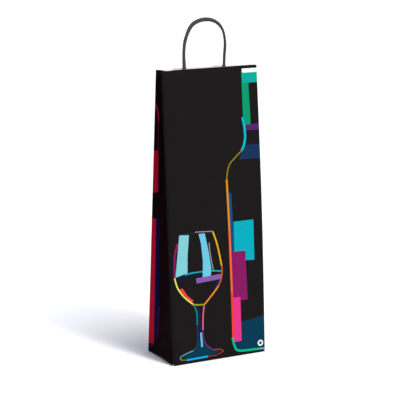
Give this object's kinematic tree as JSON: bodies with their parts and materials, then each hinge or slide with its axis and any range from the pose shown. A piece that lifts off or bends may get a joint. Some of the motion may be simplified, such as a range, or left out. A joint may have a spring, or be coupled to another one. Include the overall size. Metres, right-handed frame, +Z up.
{
  "type": "bottle gift bag",
  "caption": "Tall narrow folded paper gift bag for one bottle, with a block bottom, inward side gussets and twisted paper cord handles.",
  "frame": {"origin": "centre of the base on the surface that the bag stands on", "axes": "+Z up to the mouth and handles, +X across the width to the right of the front view, +Y from the front panel to the back panel"},
  "size_m": [0.14, 0.076, 0.4554],
  "materials": {
    "printed_paper": "smooth satin printed paper, near black",
    "white_paper": "matt uncoated white paper",
    "cord_paper": "matt twisted paper cord, dark grey"
  },
  "bodies": {
    "base": {"base_rear_flap": "printed_paper", "base_front_flap": "printed_paper", "base_left_flap": "printed_paper", "base_right_flap": "printed_paper"},
    "front": {"front_panel": "printed_paper", "front_hem": "white_paper", "front_handle_patch": "white_paper", "front_patch_cover": "white_paper", "front_cord_ends": "cord_paper"},
    "back": {"back_panel": "printed_paper", "back_hem": "white_paper", "back_handle_patch": "white_paper", "back_patch_cover": "white_paper", "back_cord_ends": "cord_paper", "side_seam_strip": "white_paper"},
    "front_handle": {"front_handle": "cord_paper"},
    "back_handle": {"back_handle": "cord_paper"},
    "left_rear_gusset": {"left_gusset_rear": "printed_paper", "left_rear_hem": "white_paper", "left_foot": "printed_paper"},
    "left_front_gusset": {"left_gusset_front": "printed_paper", "left_front_hem": "white_paper"},
    "right_rear_gusset": {"right_gusset_rear": "printed_paper", "right_rear_hem": "white_paper", "right_foot": "printed_paper"},
    "right_front_gusset": {"right_gusset_front": "printed_paper", "right_front_hem": "white_paper"}
  },
  "joints": [
    {"name": "back_panel_lean", "type": "hinge", "parent": "base", "child": "back", "pos_m": [0, 0.038, 0], "axis": [-1, 0, 0], "range_deg": [-0.37, 4.26]},
    {"name": "front_panel_lean", "type": "hinge", "parent": "base", "child": "front", "pos_m": [0, -0.038, 0], "axis": [1, 0, 0], "range_deg": [-0.38, 4.27]},
    {"name": "front_handle_fold", "type": "hinge", "parent": "front", "child": "front_handle", "pos_m": [0, -0.00875, 0.3889], "axis": [1, 0, 0], "range_deg": [0, 175]},
    {"name": "back_handle_fold", "type": "hinge", "parent": "back", "child": "back_handle", "pos_m": [0, 0.00875, 0.3889], "axis": [-1, 0, 0], "range_deg": [0, 175]},
    {"name": "left_rear_gusset_fold", "type": "hinge", "parent": "back", "child": "left_rear_gusset", "pos_m": [-0.07, 0.038, 0], "axis": [0.7071, -0.7071, 0], "range_deg": [-0.53, 6.04], "deforming": ["left_gusset_rear", "left_rear_hem"]},
    {"name": "left_front_gusset_fold", "type": "hinge", "parent": "front", "child": "left_front_gusset", "pos_m": [-0.07, -0.038, 0], "axis": [-0.7071, -0.7071, 0], "range_deg": [-0.53, 6.04], "deforming": ["left_gusset_front", "left_front_hem"]},
    {"name": "right_rear_gusset_fold", "type": "hinge", "parent": "back", "child": "right_rear_gusset", "pos_m": [0.07, 0.038, 0], "axis": [0.7071, 0.7071, 0], "range_deg": [-0.53, 6.04], "deforming": ["right_gusset_rear", "right_rear_hem"]},
    {"name": "right_front_gusset_fold", "type": "hinge", "parent": "front", "child": "right_front_gusset", "pos_m": [0.07, -0.038, 0], "axis": [-0.7071, 0.7071, 0], "range_deg": [-0.53, 6.04], "deforming": ["right_gusset_front", "right_front_hem"]}
  ],
  "couplings": [
    {"joint": "front_panel_lean", "follows": "back_panel_lean", "ratio": 1},
    {"joint": "left_rear_gusset_fold", "follows": "back_panel_lean", "ratio": 1.4142},
    {"joint": "left_front_gusset_fold", "follows": "back_panel_lean", "ratio": 1.4142},
    {"joint": "right_rear_gusset_fold", "follows": "back_panel_lean", "ratio": 1.4142},
    {"joint": "right_front_gusset_fold", "follows": "back_panel_lean", "ratio": 1.4142}
  ]
}
